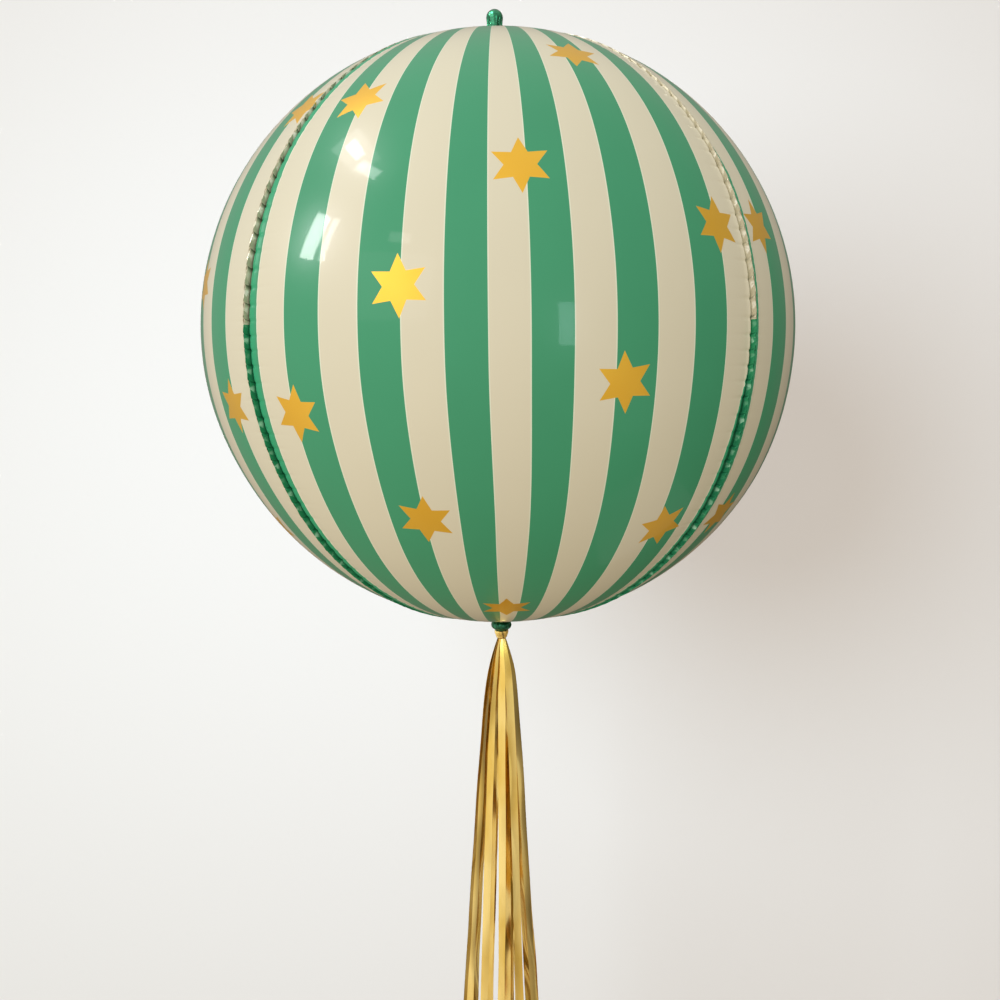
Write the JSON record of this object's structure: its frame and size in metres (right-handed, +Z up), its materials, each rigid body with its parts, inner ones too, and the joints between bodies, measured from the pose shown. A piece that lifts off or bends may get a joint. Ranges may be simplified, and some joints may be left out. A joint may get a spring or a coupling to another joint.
{
  "type": "sphere foil balloon",
  "caption": "Round inflated foil balloon of welded striped gores with printed stars, a gathered top knob, a rolled neck and a hanging tassel of gold foil strips.",
  "frame": {"origin": "top of the knob, where the balloon is held, on the balloon's axis", "axes": "+Z up along the axis from the tassel to the knob, -Y towards the front gore, +X towards the right gore"},
  "size_m": [0.4, 0.4, 0.8971],
  "materials": {
    "striped_foil": "glossy printed foil film, cream and green stripes, gold stars",
    "green_foil": "bright green metallic foil film, gathered and creased",
    "gold_foil": "mirror-bright gold metallic foil film"
  },
  "bodies": {
    "root": {"gore_front": "striped_foil", "gore_right": "striped_foil", "gore_back": "striped_foil", "gore_left": "striped_foil", "top_knob": "green_foil", "neck_collar": "green_foil", "ribbon_knot": "gold_foil", "strip_01": "gold_foil", "strip_02": "gold_foil", "strip_03": "gold_foil", "strip_04": "gold_foil", "strip_05": "gold_foil", "strip_06": "gold_foil", "strip_07": "gold_foil", "strip_08": "gold_foil", "strip_09": "gold_foil", "strip_10": "gold_foil", "strip_11": "gold_foil", "strip_12": "gold_foil", "strip_13": "gold_foil", "strip_14": "gold_foil", "strip_15": "gold_foil", "strip_16": "gold_foil"}
  },
  "joints": []
}
